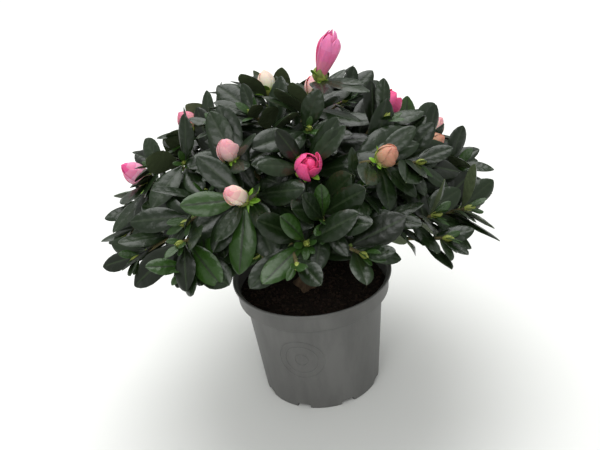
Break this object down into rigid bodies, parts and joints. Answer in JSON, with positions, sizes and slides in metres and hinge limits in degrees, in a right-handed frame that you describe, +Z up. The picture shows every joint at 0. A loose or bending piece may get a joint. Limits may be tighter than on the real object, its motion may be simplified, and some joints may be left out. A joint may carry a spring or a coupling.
{
  "type": "azalea shrub",
  "caption": "Potted azalea shrub: a low dome of dark leathery leaves with fat pink flower buds on a short forked stem, standing in a round tapered pot of peat.",
  "frame": {"origin": "middle of the pot's flat underside, on the ground that it stands on", "axes": "+Z up along the pot's axis, -Y towards the side seen in the picture, +X to that side's right"},
  "size_m": [0.2437, 0.2374, 0.2239],
  "materials": {
    "pot_plastic": "matte",
    "peat": "rough, crumbly",
    "bark": "rough bark",
    "foliage": "semi-gloss leaves"
  },
  "bodies": {
    "root": {"pot": "pot_plastic", "root_ball": "peat", "stem": "bark", "bough_top_1": "bark", "bough_shoulder_1": "bark", "bough_shoulder_2": "bark", "bough_shoulder_3": "bark", "bough_shoulder_4": "bark", "bough_shoulder_5": "bark", "bough_shoulder_6": "bark", "bough_skirt_1": "bark", "bough_skirt_2": "bark", "bough_skirt_3": "bark", "bough_skirt_4": "bark", "bough_skirt_5": "bark", "bough_skirt_6": "bark", "bough_skirt_7": "bark", "foliage_top_1": "foliage", "foliage_shoulder_1": "foliage", "foliage_shoulder_2": "foliage", "foliage_shoulder_3": "foliage", "foliage_shoulder_4": "foliage", "foliage_shoulder_5": "foliage", "foliage_shoulder_6": "foliage", "foliage_skirt_1": "foliage", "foliage_skirt_2": "foliage", "foliage_skirt_3": "foliage", "foliage_skirt_4": "foliage", "foliage_skirt_5": "foliage", "foliage_skirt_6": "foliage", "foliage_skirt_7": "foliage"}
  },
  "joints": []
}
